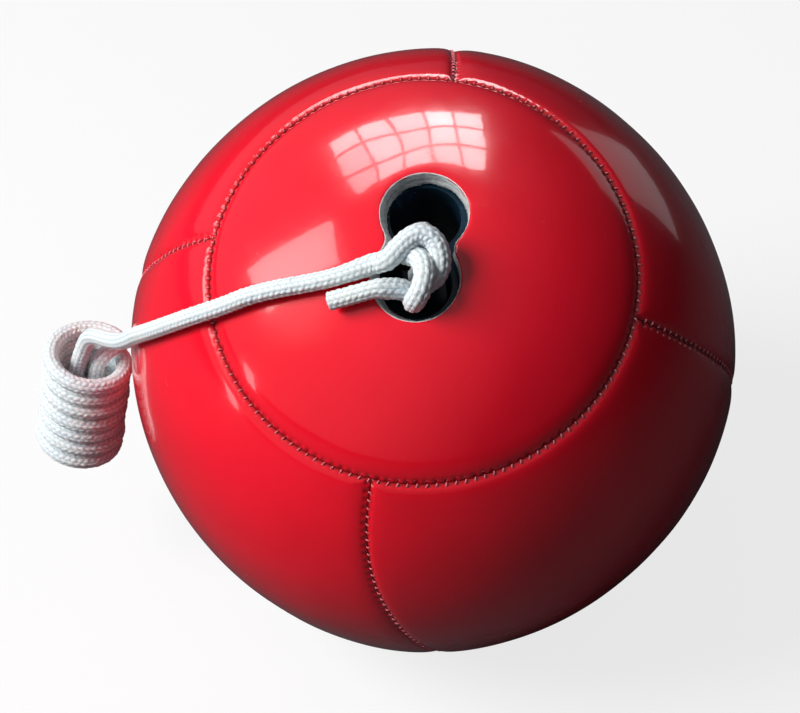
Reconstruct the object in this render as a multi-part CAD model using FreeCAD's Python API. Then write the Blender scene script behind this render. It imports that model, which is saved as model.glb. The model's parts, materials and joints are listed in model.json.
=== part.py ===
import FreeCAD, Part
import math
import os
from FreeCAD import Vector as V

# Sewn medicine ball with a two-lobed rope port and a rope that ends in a wound hank.
# Part's frame: millimetres, +Z up, origin at the middle of the flat the ball rests on.
# Front is -Y, right is +X. The rope runs over the left side of the ball.
# Port's frame: origin at the ball's centre, +Z out along the port's axis, +Y to its upper lobe.

# ---------------------------------------------------------------- driving dimensions
BALL_R = 140.0          # outside radius of the sewn cover
REST_R = 28.0           # radius of the flat the ball rests on
COVER_T = 1.2           # thickness of the cover sheet
CENTRE = V(0, 0, math.sqrt(BALL_R ** 2 - REST_R ** 2))   # ball's centre

CAP_ANGLE = 41.5        # polar angle of the top seam about the port's axis
SEAM_GAP = 1.0          # width of the groove a seam's thread lies in
GROOVE_BELOW = 8.0      # reach of the side grooves' cutter inside the cover
GROOVE_ABOVE = 6.0      # and outside it
THREAD_R = 0.40         # half the thread's radial thickness
THREAD_POS = 139.35     # radius from the ball's centre to the thread
SIDE_THREAD_RATIO = 0.7   # half width of a side seam's thread over THREAD_R
SIDE_THREAD_GAP = 0.8   # degrees from a side thread's end to the cap seam
STATION_GAP = 2.0       # least degrees from a side thread's end to the next station

PAD_OUT = 138.5         # outside radius of the foam layer
PAD_IN = 131.0          # inside radius of the foam layer
PAD_GAP = 0.2           # gap between the two foam halves
REST_GAP = 0.3          # gap between layers above the flat
PAD_REST_Z = COVER_T + REST_GAP        # underside of the foam
PAD_INNER_Z = COVER_T + 8.0            # top of the foam above the flat
FILL_R = 130.7          # outside radius of the textile filling
FILL_REST_Z = PAD_INNER_Z + REST_GAP   # underside of the filling

PORT_TILT = 30.0        # angle of the port's axis from vertical, towards -Y
PORT_LOBE_R = 19.0      # radius of each lobe of the opening in the cover
PORT_LOBE_UP = 16.5     # upper lobe's centre from the port's axis
PORT_LOBE_DN = 12.5     # lower lobe's centre from the port's axis
PORT_FILLET = 8.0       # rounding of the two waists
PORT_TWIST = -3.3       # turn of the lobes' line about the port's axis, degrees
PORT_CUT = (100.0, 170.0)   # heights between which port cutters run
PORT_REACH = 30.0       # polar angle that takes in the whole port
RING_INSET = 2.6        # felt ring's hole inside the opening
RING_LAP = 3.0          # felt ring's outside beyond the opening
RING_GAP = 0.2          # gap from the felt ring to the foam
RING_LIFT = 0.1         # felt ring's inside above the foam's inside

CUP_LOBE_R = 15.0       # inside radius of each lobe of the cup
CUP_FILLET = 6.0        # rounding of the cup's waists
CUP_T = 2.2             # wall of the cup
CUP_TOP = 130.9         # distance of the flange's top from the ball's centre
CUP_FLOOR = 84.0        # distance of the cup's floor from the ball's centre
FLANGE_T = 2.4          # thickness of the flange
FLANGE_W = 9.0          # width of the flange beyond the cup's inside
FLANGE_FILLET = 10.0    # rounding of the flange's waists
CUTTER_OVER = 20.0      # reach of the cup's cutters above its top
BAR_R = 4.5             # radius of the anchor bar
BAR_POS = 116.5         # distance of the bar from the ball's centre
BAR_CLEAR = 0.05        # gap between the bar and its holes
WASHER_R = 8.5          # radius of the push-on washers
WASHER_T = 1.2          # thickness of the washers
WASHER_GAP = 0.15       # gap between a washer and its boss

FILL_GAP = 0.6          # room round the cup and its flange in the filling
FILL_CUT_TOP = 180.0    # height the filling's cutters reach
BALLAST_R = 52.0        # outside radius of the ballast bag
BALLAST_T = 1.2         # its cloth
BALLAST_ROOM = 0.3      # gap round the bag
SAND_GAP = 0.2          # gap between cloth and sand
BALLAST_CENTRE = V(0, 4, -8) + CENTRE

ROPE_R = 4.0            # radius of the rope
HINGE_GAP = 0.12        # gap between two lengths of rope where they bend
LOOP_GAP = 0.4          # gap between the bar and the rope's loop
LOOP_LEG = 11.5         # length of the loop's legs above the bar
KNOT_CENTRE = V(0.4, -7.6, 142.6)   # in the port's frame
KNOT_HALF = (11.2, 15.6, 9.8)       # half sizes before the turn
KNOT_TURN = -12.0       # turn about the port's axis, degrees

WRAP_R = 17.5           # radius of the hank's wraps, to the rope's centre
WRAP_PITCH = 8.35       # spacing of the wraps
WRAP_STEPS = 7          # spacings from the top wrap to the bottom one
VALLEY_RATIO = 0.9      # half height of a wrap's outside arc over half the pitch
STRAND = 4.7            # half the spacing of the two strands inside the hank
KNEE_Z = 4.0            # where the incoming strand straightens, down the hank
STRAND_END_Z = 3.0      # where the rising strand ends
BEND_LIFT = 6.0         # start of the strands' bend above the bottom wrap's centre
FREE_END_LEN = 6.0
FREE_END_XY = (-8.5, -7.5)   # in the hank's frame
FREE_END_GAP = 0.3      # gap between the free end and the last wrap

# Points on the rope's centre line, from the ball's centre.
P_LIFT = (-17.5, -78.4, 120.3)     # where the lead leaves the knot
P_BEND = (-82.0, -77.9, 90.1)      # bend of the lead at the top seam
P_DROP = (-132.5, -44.6, 37.6)     # bend where it goes over the side
P_HANK = (-161.6, -8.6, 3.0)       # where it enters the hank
LEAD_IN = [P_LIFT, (-26.8, -80.7, 117.0), (-36.6, -82.5, 113.0), (-46.7, -82.9, 108.9),
           (-57.0, -81.9, 104.9), (-70.2, -80.0, 98.3), P_BEND]
LEAD_OUT = [P_BEND, (-89.3, -75.9, 84.8), (-98.0, -72.5, 77.8), (-108.2, -67.3, 68.4),
            (-119.2, -59.3, 56.4), (-127.0, -51.4, 46.4), P_DROP]
DROP = [P_DROP, (-139.6, -35.6, 27.5), (-148.0, -24.8, 18.6), (-155.6, -15.6, 12.0), P_HANK]
TAIL = [(-15.5, -89.6, 114.4), (-22.5, -90.4, 112.2), (-28.7, -91.0, 110.0),
        (-35.8, -91.4, 107.4)]
HANK_TOP = V(-162.6, -6.4, -7.6)   # middle of the top wrap
HANK_END = V(-173.0, -6.4, -66.0)  # a lower point on the hank's axis

# Side seams in the port's frame: (polar angle, azimuth), degrees.
SIDE_SEAMS = {
    "front": [(40, -99.6), (50, -99.2), (58, -98.0), (64, -96.6), (70, -94.8), (76, -92.8),
              (84, -90.1), (92, -87.5), (101, -84.9), (112, -82.4), (124, -80.6), (140, -79.5)],
    "left": [(40, 172.0), (52, 172.8), (62, 173.5), (77, 173.4), (92, 172.6), (108, 171.6),
             (124, 171.2), (140, 171.4)],
    "back": [(40, 85.4), (52, 87.1), (62, 88.5), (76, 90.4), (92, 92.6), (108, 94.2),
             (124, 95.2), (140, 95.6)],
    "right": [(40, -8.4), (52, -7.6), (62, -6.6), (76, -5.0), (92, -3.4), (108, -2.2),
              (124, -1.4), (140, -1.0)],
}

ORIGIN = V(0, 0, 0)
Z_AXIS = V(0, 0, 1)

os.makedirs("parts", exist_ok=True)


# ---------------------------------------------------------------- helpers
def save(name, shape):
    shape.exportStep(os.path.join("parts", name + ".step"))


def from_port(shape):
    """A copy taken from the port's frame to the part's frame."""
    placed = shape.copy()
    placed.rotate(ORIGIN, V(1, 0, 0), PORT_TILT)
    placed.translate(CENTRE)
    return placed


def polar(radius, theta, azimuth):
    """The point at a radius, a polar angle from Z and an azimuth from X, in degrees."""
    t, a = math.radians(theta), math.radians(azimuth)
    return V(radius * math.sin(t) * math.cos(a), radius * math.sin(t) * math.sin(a),
             radius * math.cos(t))


def surface_angle(length):
    """The angle in degrees that a length on the cover spans at the ball's centre."""
    return math.degrees(length / BALL_R)


def zone(theta_a, theta_b, r_in, r_out):
    """The part of a spherical shell between two polar angles, about Z."""
    theta_mid = (theta_a + theta_b) / 2.0
    if theta_a <= 0:
        start_in, start_out = V(0, 0, r_in), V(0, 0, r_out)
    else:
        start_in, start_out = polar(r_in, theta_a, 0), polar(r_out, theta_a, 0)
    end_in, end_out = polar(r_in, theta_b, 0), polar(r_out, theta_b, 0)
    outline = Part.Wire([
        Part.makeLine(start_in, start_out),
        Part.Arc(start_out, polar(r_out, theta_mid, 0), end_out).toShape(),
        Part.makeLine(end_out, end_in),
        Part.Arc(end_in, polar(r_in, theta_mid, 0), start_in).toShape(),
    ])
    return Part.Face(outline).revolve(ORIGIN, Z_AXIS, 360)


def ball(radius, z_low):
    """A ball about CENTRE, cut flat at the height z_low of the part's frame."""
    size = 400.0
    box = Part.makeBox(size, size, size, V(-size / 2, -size / 2, z_low))
    return Part.makeSphere(radius, CENTRE).common(box)


LOBE_HALF = (PORT_LOBE_UP + PORT_LOBE_DN) / 2.0   # half the lobes' spacing
LOBE_MID = (PORT_LOBE_UP - PORT_LOBE_DN) / 2.0    # point midway between the lobes


def waist_centre(lobe_r, fillet):
    """Distance from the lobes' line to the centre of a waist's rounding."""
    return math.sqrt((lobe_r + fillet) ** 2 - LOBE_HALF ** 2)


def lobed_prism(lobe_r, fillet, z0, z1):
    """A prism on the port's outline: two arcs joined by two rounded waists."""
    centre_x = waist_centre(lobe_r, fillet)
    waist = centre_x - fillet
    ratio = lobe_r / (lobe_r + fillet)
    x, y = centre_x * ratio, LOBE_HALF * (1 - ratio)
    up_right, up_left = V(x, y, 0), V(-x, y, 0)
    dn_left, dn_right = V(-x, -y, 0), V(x, -y, 0)
    outline = Part.Wire([
        Part.Arc(up_right, V(0, LOBE_HALF + lobe_r, 0), up_left).toShape(),
        Part.Arc(up_left, V(-waist, 0, 0), dn_left).toShape(),
        Part.Arc(dn_left, V(0, -LOBE_HALF - lobe_r, 0), dn_right).toShape(),
        Part.Arc(dn_right, V(waist, 0, 0), up_right).toShape(),
    ])
    outline.translate(V(0, LOBE_MID, 0))
    outline.rotate(ORIGIN, Z_AXIS, PORT_TWIST)
    outline.translate(V(0, 0, z0))
    return Part.Face(outline).extrude(V(0, 0, z1 - z0))


def sweep_rope(path, start, direction):
    """The rope's round section, swept along a wire."""
    circle = Part.Wire([Part.makeCircle(ROPE_R, start, direction)])
    return path.makePipeShell([circle], True, False)


def rope(points, hinged=True):
    """Rope along a smooth line through points given from the ball's centre. A hinged length
    starts with a ball on its first point and stops short of the next length's ball."""
    curve = Part.BSplineCurve()
    curve.interpolate([V(*point) + CENTRE for point in points])
    first, last = curve.FirstParameter, curve.LastParameter
    if hinged:
        last = curve.parameterAtDistance(curve.length() - ROPE_R - HINGE_GAP, first)
    start = curve.value(first)
    path = Part.Wire([curve.toShape(first, last)])
    tube = sweep_rope(path, start, curve.tangent(first)[0])
    if hinged:
        tube = tube.fuse(Part.makeSphere(ROPE_R, start)).removeSplitter()
    return tube


# ---------------------------------------------------------------- side seams
def seam_strip(table, r_low, r_high, half_width):
    """A thin curved solid that follows a side seam between two radii."""
    corners = [(r_low, -1), (r_high, -1), (r_high, 1), (r_low, 1)]

    def point(theta, azimuth, radius, side):
        offset = side * half_width / (BALL_R * math.sin(math.radians(theta)))
        return polar(radius, theta, azimuth + math.degrees(offset))

    edges = []
    for radius, side in corners:
        curve = Part.BSplineCurve()
        curve.interpolate([point(theta, azimuth, radius, side) for theta, azimuth in table])
        edges.append(curve.toShape())
    faces = [Part.makeRuledSurface(edges[i], edges[(i + 1) % 4]) for i in range(4)]
    for theta, azimuth in (table[0], table[-1]):
        end = [point(theta, azimuth, radius, side) for radius, side in corners]
        faces.append(Part.Face(Part.makePolygon(end + [end[0]])))
    shell = Part.Shell(faces)
    shell.sewShape()
    solid = Part.Solid(shell)
    if solid.Volume < 0:
        solid.reverse()
    return solid


def seam_azimuth(table, theta):
    """A seam's azimuth at a polar angle, on straight lines between its stations."""
    for (t0, a0), (t1, a1) in zip(table, table[1:]):
        if theta <= t1:
            return a0 + (a1 - a0) * (theta - t0) / (t1 - t0)


def between_caps(table):
    """The stretch of a side seam that its thread fills."""
    first = CAP_ANGLE + SIDE_THREAD_GAP
    last = 180 - CAP_ANGLE - SIDE_THREAD_GAP
    middle = [(t, a) for t, a in table if first + STATION_GAP < t < last - STATION_GAP]
    return [(first, seam_azimuth(table, first))] + middle + [(last, seam_azimuth(table, last))]


# ---------------------------------------------------------------- cover
groove_half = SEAM_GAP / 2.0
groove_angle = surface_angle(groove_half)
cover_in = BALL_R - COVER_T

opening = lobed_prism(PORT_LOBE_R, PORT_FILLET, *PORT_CUT)
cap_top = zone(0, CAP_ANGLE - groove_angle, cover_in, BALL_R).cut(opening)
save("cover_cap_top", from_port(cap_top))

# the bottom cap lies opposite the port and takes in the flat
cap_cone = zone(0, CAP_ANGLE - groove_angle, 60, BALL_R + 12).mirror(ORIGIN, Z_AXIS)
cap_bottom = ball(BALL_R, 0.0).cut(ball(cover_in, COVER_T)).common(from_port(cap_cone))
save("cover_cap_bottom", cap_bottom)

# the band between the caps, split into four panels
band = zone(CAP_ANGLE + groove_angle, 180 - CAP_ANGLE - groove_angle, cover_in, BALL_R)
for seam in SIDE_SEAMS.values():
    band = band.cut(seam_strip(seam, BALL_R - GROOVE_BELOW, BALL_R + GROOVE_ABOVE, groove_half))
for panel in band.Solids:
    mass_centre = panel.CenterOfMass
    depth_name = "back" if mass_centre.y >= 0 else "front"
    side_name = "right" if mass_centre.x > 0 else "left"
    save("cover_side_panel_" + depth_name + "_" + side_name, from_port(panel))

# ---------------------------------------------------------------- seam thread
thread_in, thread_out = THREAD_POS - THREAD_R, THREAD_POS + THREAD_R
thread_angle = surface_angle(THREAD_R)
for name, theta in (("top", CAP_ANGLE), ("bottom", 180 - CAP_ANGLE)):
    thread = zone(theta - thread_angle, theta + thread_angle, thread_in, thread_out)
    save("stitching_" + name + "_seam", from_port(thread))
for name, seam in SIDE_SEAMS.items():
    thread = seam_strip(between_caps(seam), thread_in, thread_out, THREAD_R * SIDE_THREAD_RATIO)
    save("stitching_side_seam_" + name, from_port(thread))

# ---------------------------------------------------------------- felt ring and padding
ring_hole = lobed_prism(PORT_LOBE_R - RING_INSET, PORT_FILLET - 1.0, *PORT_CUT)
ring_out = lobed_prism(PORT_LOBE_R + RING_LAP, PORT_FILLET, *PORT_CUT)
felt = zone(0, PORT_REACH, PAD_IN + RING_LIFT, PAD_OUT).common(ring_out).cut(ring_hole)
save("padding_port_ring", from_port(felt))

# two foam halves that meet square to the port's axis
pad_hole = lobed_prism(PORT_LOBE_R + RING_LAP + RING_GAP, PORT_FILLET, *PORT_CUT)
upper_half = zone(0, 90, 20, 200)
lower_half = upper_half.mirror(ORIGIN, Z_AXIS)
upper_half.translate(V(0, 0, PAD_GAP / 2))
lower_half.translate(V(0, 0, -PAD_GAP / 2))
pad = ball(PAD_OUT, PAD_REST_Z).cut(ball(PAD_IN, PAD_INNER_Z))
save("padding_upper_shell", pad.common(from_port(upper_half)).cut(from_port(pad_hole)))
save("padding_lower_shell", pad.common(from_port(lower_half)))

# ---------------------------------------------------------------- cup, bar and washers
twist = math.radians(PORT_TWIST)
bar_dir = V(math.cos(twist), math.sin(twist), 0)
lobe_dir = V(-math.sin(twist), math.cos(twist), 0)
bar_mid = V(0, 0, BAR_POS) + lobe_dir * LOBE_MID
cup_waist = waist_centre(CUP_LOBE_R, CUP_FILLET) - CUP_FILLET
boss_half = cup_waist + CUP_T + 5.4   # bar's middle to a boss's outer end
bar_half = boss_half + 2.6            # half the bar's length


def bar_cylinder(radius, half_length):
    """A cylinder on the bar's axis, about the bar's middle."""
    return Part.makeCylinder(radius, 2 * half_length, bar_mid - bar_dir * half_length, bar_dir)


bar_hole = bar_cylinder(BAR_R + BAR_CLEAR, bar_half + 5)


def port_cup():
    """Two-lobed cup with a curved flange and a boss at each end of the bar."""
    body = lobed_prism(CUP_LOBE_R + CUP_T, CUP_FILLET, CUP_FLOOR, CUP_TOP - 0.5)
    inside = lobed_prism(CUP_LOBE_R, CUP_FILLET, CUP_FLOOR + CUP_T, CUP_TOP + CUTTER_OVER)
    flange = lobed_prism(CUP_LOBE_R + FLANGE_W, FLANGE_FILLET, CUP_TOP - 40,
                         CUP_TOP + CUTTER_OVER)
    flange = flange.common(zone(0, PORT_REACH, CUP_TOP - FLANGE_T, CUP_TOP))
    cup = body.common(Part.makeSphere(CUP_TOP)).fuse(flange)
    cup = cup.cut(inside)
    bosses = bar_cylinder(BAR_R + 3.0, boss_half).cut(bar_cylinder(BAR_R + 4.0, cup_waist + 0.6))
    cup = cup.fuse(bosses).cut(bar_hole).removeSplitter()
    # clears what the bosses brought into the cup's inside
    return cup.cut(inside).Solids[0]


def bar_washer(side):
    """The washer against one boss; side is -1 or 1 along the bar."""
    base = bar_mid + bar_dir * (side * (boss_half + WASHER_GAP))
    return Part.makeCylinder(WASHER_R, WASHER_T, base, bar_dir * side).cut(bar_hole)


save("rope_port_cup", from_port(port_cup()))
save("anchor_bar", from_port(bar_cylinder(BAR_R, bar_half)))
save("anchor_bar_washers", from_port(Part.makeCompound([bar_washer(side) for side in (-1, 1)])))

# ---------------------------------------------------------------- filling and ballast
cup_room = lobed_prism(CUP_LOBE_R + CUP_T + FILL_GAP, CUP_FILLET, CUP_FLOOR - FILL_GAP,
                       FILL_CUT_TOP)
flange_room = lobed_prism(CUP_LOBE_R + FLANGE_W + FILL_GAP, FLANGE_FILLET,
                          CUP_TOP - FLANGE_T - 10.0, FILL_CUT_TOP)
bar_room = bar_cylinder(WASHER_R + 0.8, bar_half + 1.0)
filling = ball(FILL_R, FILL_REST_Z)
filling = filling.cut(from_port(cup_room.fuse(flange_room).fuse(bar_room)))
filling = filling.cut(Part.makeSphere(BALLAST_R + BALLAST_ROOM, BALLAST_CENTRE))
save("fibre_filling", filling)

bag_in = BALLAST_R - BALLAST_T
bag = Part.makeSphere(BALLAST_R, BALLAST_CENTRE).cut(Part.makeSphere(bag_in, BALLAST_CENTRE))
save("ballast_bag", bag)
save("ballast_sand", Part.makeSphere(bag_in - SAND_GAP, BALLAST_CENTRE))


# ---------------------------------------------------------------- rope at the port
def anchor_loop():
    """A U of rope that passes under the bar, with a leg up into each lobe."""
    loop_r = BAR_R + ROPE_R + LOOP_GAP
    leg = V(0, 0, LOOP_LEG)
    up_side = bar_mid + lobe_dir * loop_r
    dn_side = bar_mid - lobe_dir * loop_r
    path = Part.Wire([
        Part.makeLine(up_side + leg, up_side),
        Part.Arc(up_side, bar_mid - V(0, 0, loop_r), dn_side).toShape(),
        Part.makeLine(dn_side, dn_side + leg),
    ])
    return sweep_rope(path, up_side + leg, V(0, 0, -1))


def rope_knot():
    """A rounded lump, longer along the lobes' line than across it."""
    stretch = FreeCAD.Matrix()
    stretch.scale(*KNOT_HALF)
    knot = Part.makeSphere(1.0).transformGeometry(stretch)
    knot.rotate(ORIGIN, Z_AXIS, KNOT_TURN)
    knot.translate(KNOT_CENTRE)
    return knot


save("rope_anchor_loop", from_port(anchor_loop()))
save("rope_knot", from_port(rope_knot()))
save("rope_tail", rope(TAIL, hinged=False))

# ---------------------------------------------------------------- rope on the ball
save("rope_lead_inner", rope(LEAD_IN))
save("rope_lead_outer", rope(LEAD_OUT))
save("rope_drop", rope(DROP))

# ---------------------------------------------------------------- hank
# Hank's frame: +Z down the hank, origin at the middle of the top wrap.
hank_turn = FreeCAD.Rotation(Z_AXIS, (HANK_END - HANK_TOP).normalize())
hank_height = WRAP_PITCH * WRAP_STEPS   # between the end wraps' centres


def from_hank(shape):
    """A copy taken from the hank's frame to the part's frame."""
    placed = shape.copy()
    placement = FreeCAD.Placement(HANK_TOP + CENTRE, hank_turn)
    placed.Placement = placement.multiply(placed.Placement)
    return placed


def hank_wraps():
    """One sleeve whose outside follows each turn of the rope."""
    arc_half = WRAP_PITCH / 2.0 * VALLEY_RATIO
    valley_r = WRAP_R + math.sqrt(ROPE_R ** 2 - arc_half ** 2)
    start = V(WRAP_R - ROPE_R, 0, -ROPE_R)
    last = start
    outline = []
    for i in range(WRAP_STEPS + 1):
        z = i * WRAP_PITCH
        arc_start, arc_end = V(valley_r, 0, z - arc_half), V(valley_r, 0, z + arc_half)
        if i == 0:
            arc_start = V(WRAP_R, 0, -ROPE_R)
        if i == WRAP_STEPS:
            arc_end = V(WRAP_R, 0, z + ROPE_R)
        angles = [math.atan2(p.z - z, p.x - WRAP_R) for p in (arc_start, arc_end)]
        middle = sum(angles) / 2.0
        crest = V(WRAP_R + ROPE_R * math.cos(middle), 0, z + ROPE_R * math.sin(middle))
        outline.append(Part.makeLine(last, arc_start))
        outline.append(Part.Arc(arc_start, crest, arc_end).toShape())
        last = arc_end
    inner_end = V(WRAP_R - ROPE_R, 0, last.z)
    outline += [Part.makeLine(last, inner_end), Part.makeLine(inner_end, start)]
    return Part.Face(Part.Wire(outline)).revolve(ORIGIN, Z_AXIS, 360)


def hank_core():
    """The strands inside the wraps: in at the top, down, round the bottom and up again."""
    entry = hank_turn.inverted().multVec(V(*P_HANK) - HANK_TOP)
    bend_z = hank_height - BEND_LIFT
    knee = V(STRAND, 0, KNEE_Z)
    down_end, up_start = V(STRAND, 0, bend_z), V(-STRAND, 0, bend_z)
    path = Part.Wire([
        Part.makeLine(knee, down_end),
        Part.Arc(down_end, V(0, 0, bend_z + STRAND), up_start).toShape(),
        Part.makeLine(up_start, V(-STRAND, 0, STRAND_END_Z)),
    ])
    lead = knee - entry
    core = sweep_rope(path, knee, Z_AXIS)
    core = core.fuse(Part.makeSphere(ROPE_R, knee))
    core = core.fuse(Part.makeCylinder(ROPE_R, lead.Length, entry, lead))
    return core.fuse(Part.makeSphere(ROPE_R, entry))


save("rope_hank_wraps", from_hank(hank_wraps()))
save("rope_hank_core", from_hank(hank_core()))

# the end of the rope, just below the last wrap
free_end_base = V(*FREE_END_XY, hank_height + ROPE_R + FREE_END_GAP)
save("rope_free_end", from_hank(Part.makeCylinder(ROPE_R, FREE_END_LEN, free_end_base, Z_AXIS)))
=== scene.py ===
"""A stuffed vinyl ball with a rope: four side panels and two caps, sewn together, and an
opening (the port) in the top cap. The rope loops round a bar inside the port, is knotted
above it, runs over the cover and ends in a wound hank beside the ball.

Part frame: +Z up, resting on z = 0, front towards -Y, hank on the -X side. Shapes are worked
out in mm from the ball's centre. The port frame has the same centre, with z on the port's axis.
"""
import bmesh
import bpy
import json
import math
import numpy as np
from mathutils import Matrix, Vector


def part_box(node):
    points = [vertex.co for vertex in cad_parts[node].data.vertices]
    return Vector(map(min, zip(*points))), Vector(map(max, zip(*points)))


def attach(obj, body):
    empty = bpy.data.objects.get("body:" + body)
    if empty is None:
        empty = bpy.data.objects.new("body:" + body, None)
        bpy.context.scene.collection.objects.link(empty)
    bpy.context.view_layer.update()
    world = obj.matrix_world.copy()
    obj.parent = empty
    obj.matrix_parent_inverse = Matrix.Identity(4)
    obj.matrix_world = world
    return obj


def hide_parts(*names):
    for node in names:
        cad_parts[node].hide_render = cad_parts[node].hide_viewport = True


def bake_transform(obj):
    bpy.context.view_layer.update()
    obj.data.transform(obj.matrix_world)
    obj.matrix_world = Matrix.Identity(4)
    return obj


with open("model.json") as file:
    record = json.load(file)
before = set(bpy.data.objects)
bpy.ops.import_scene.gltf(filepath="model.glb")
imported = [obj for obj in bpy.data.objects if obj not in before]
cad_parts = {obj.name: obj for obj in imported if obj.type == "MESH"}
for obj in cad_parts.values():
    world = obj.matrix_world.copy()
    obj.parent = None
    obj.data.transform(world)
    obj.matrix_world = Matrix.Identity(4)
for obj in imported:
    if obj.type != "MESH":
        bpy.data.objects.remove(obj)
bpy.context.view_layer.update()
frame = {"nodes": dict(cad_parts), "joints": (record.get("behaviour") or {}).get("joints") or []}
scene = bpy.context.scene

# ------------------------------------------------------------------ places and main sizes
MM = 0.001
side_boxes = [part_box("cover_side_panel_" + place)
              for place in ("front_left", "front_right", "back_left", "back_right")]
x_lo = min(lo.x for lo, _ in side_boxes)
x_hi = max(hi.x for _, hi in side_boxes)
BALL_R = (x_hi - x_lo) / 2 / MM
CENTRE_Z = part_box("cover_cap_top")[1].z / MM - BALL_R
CENTRE = np.array([(x_lo + x_hi) / 2 / MM, 0.0, CENTRE_Z])

joints = {joint["name"]: joint for joint in frame["joints"]}
PORT_AXIS = np.array(joints["knot_swivel"]["axis"], float)
PORT_AXIS /= np.linalg.norm(PORT_AXIS)
PORT_AXIS *= math.copysign(1.0, PORT_AXIS[2])
PORT_X = np.array([1.0, 0, 0])
PORT_AXES = np.stack([PORT_X, np.cross(PORT_AXIS, PORT_X), PORT_AXIS], 1)

CAP_ANGLE = math.radians(41.5)      # from the axis to a cap's seam
PORT_TWIST = math.radians(-3.3)     # turn of the port's outline about its axis
LOBE_HALF = 14.5                    # half the distance between the port's two lobes
LOBE_MID = 2.0                      # the outline's middle, off the axis
LOBE_DIR = np.array([-math.sin(PORT_TWIST), math.cos(PORT_TWIST), 0])
PORT_LOBE_R = 19.0                  # lobe radius of the hole in the cover
FOAM_LOBE_R = 24.6                  # lobe radius of the hole in the foam
SHEET = 1.2                         # thickness of the vinyl
PITCH = 4.1                         # one stitch
GROOVE = 1.8                        # depth of the groove at a seam
CAP_STITCHES = int(round(2 * math.pi * BALL_R * math.sin(CAP_ANGLE) / PITCH))


# ------------------------------------------------------------------ geometry helpers
def metres(points):
    """Part axes, mm from the ball's centre -> part frame, metres."""
    return (points + CENTRE) * MM


def port(points):
    """Port frame -> part axes, both in mm from the ball's centre."""
    return np.asarray(points, float) @ PORT_AXES.T


def direction(theta, az):
    """Unit vectors at an angle theta from the axis and an azimuth az."""
    return np.stack([np.sin(theta) * np.cos(az), np.sin(theta) * np.sin(az), np.cos(theta)], -1)


def unit(vectors):
    return vectors / np.linalg.norm(vectors, axis=-1, keepdims=True)


def smooth01(t):
    t = np.clip(t, 0, 1)
    return t * t * (3 - 2 * t)


def wobble(points, scale, seed):
    """Smooth repeatable noise of about -1..1 from sums of sines."""
    x, y, z = np.moveaxis(points / scale, -1, 0)
    wave_x = np.sin(x * 1.7 + 1.3 * np.sin(y * 1.1 + seed) + seed * 2.1)
    wave_y = np.sin(y * 1.9 + 1.2 * np.sin(z * 1.3 + seed * 1.7) + seed)
    wave_z = np.sin(z * 1.6 + 1.4 * np.sin(x * 0.9 + seed * 0.6) + seed * 3.3)
    return (wave_x + wave_y + wave_z) / 3.0


def grid_faces(nu, nv, base=0, wrap_u=False, wrap_v=False, flip=False):
    """Quads of a grid whose vertex (i, j) is base + i * nv + j."""
    i = np.arange(nu if wrap_u else nu - 1)[:, None]
    j = np.arange(nv if wrap_v else nv - 1)[None, :]
    i_next, j_next = (i + 1) % nu, (j + 1) % nv
    corners = [i * nv + j, i_next * nv + j, i_next * nv + j_next, i * nv + j_next]
    quads = base + np.stack(corners, -1).reshape(-1, 4)
    return quads[:, ::-1] if flip else quads


def tube_faces(rows, around):
    return grid_faces(rows, around, wrap_v=True)[:, [0, 3, 2, 1]]


def band(ring_a, ring_b):
    """Quads between two closed rings of vertex numbers."""
    return np.stack([ring_a, np.roll(ring_a, -1), np.roll(ring_b, -1), ring_b], -1)


def fan(ring, tip):
    """Triangles from a closed ring to one vertex."""
    return np.stack([ring, np.roll(ring, -1), np.full(len(ring), tip)], -1)


def add_mesh(name, verts, faces, mat, attrs=None):
    """A smooth mesh object from vertices in metres and arrays of equal-sided faces."""
    mesh = bpy.data.meshes.new(name)
    verts = np.asarray(verts, np.float32)
    faces = [np.asarray(group, np.int32) for group in faces]
    loops = np.concatenate([group.ravel() for group in faces])
    totals = np.concatenate([np.full(len(group), group.shape[1], np.int32) for group in faces])
    starts = np.concatenate([[0], np.cumsum(totals)[:-1]]).astype(np.int32)
    mesh.vertices.add(len(verts))
    mesh.vertices.foreach_set("co", verts.ravel())
    mesh.loops.add(len(loops))
    mesh.loops.foreach_set("vertex_index", loops)
    mesh.polygons.add(len(totals))
    mesh.polygons.foreach_set("loop_start", starts)
    mesh.polygons.foreach_set("loop_total", totals)
    mesh.polygons.foreach_set("use_smooth", np.full(len(totals), True, bool))
    for key, values in (attrs or {}).items():
        layer = mesh.attributes.new(key, "FLOAT", "POINT")
        layer.data.foreach_set("value", np.asarray(values, np.float32))
    mesh.update(calc_edges=True)
    mesh.validate()
    if len(totals) > 1:             # every face of a closed piece looks outwards
        bm = bmesh.new()
        bm.from_mesh(mesh)
        bmesh.ops.recalc_face_normals(bm, faces=bm.faces)
        bm.to_mesh(mesh)
        bm.free()
    ob = bpy.data.objects.new(name, mesh)
    scene.collection.objects.link(ob)
    mesh.materials.append(mat)
    return ob


def ball_piece(name, cad, verts, faces, mat, attrs=None):
    """A piece that moves with the ball and stands in for a CAD piece; verts in mm."""
    ob = add_mesh(name, metres(verts), faces, mat, attrs)
    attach(ob, "ball")
    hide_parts(cad)


# ------------------------------------------------------------------ shader helpers
def new_mat(name):
    mat = bpy.data.materials.new(name)
    mat.use_nodes = True
    return mat, mat.node_tree, mat.node_tree.nodes["Principled BSDF"]


def set_inputs(tree, target, values):
    """Link each socket given, and set each plain value, by the input's name or number."""
    for key, value in values.items():
        if isinstance(value, bpy.types.NodeSocket):
            tree.links.new(value, target.inputs[key])
        else:
            target.inputs[key].default_value = value


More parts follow.
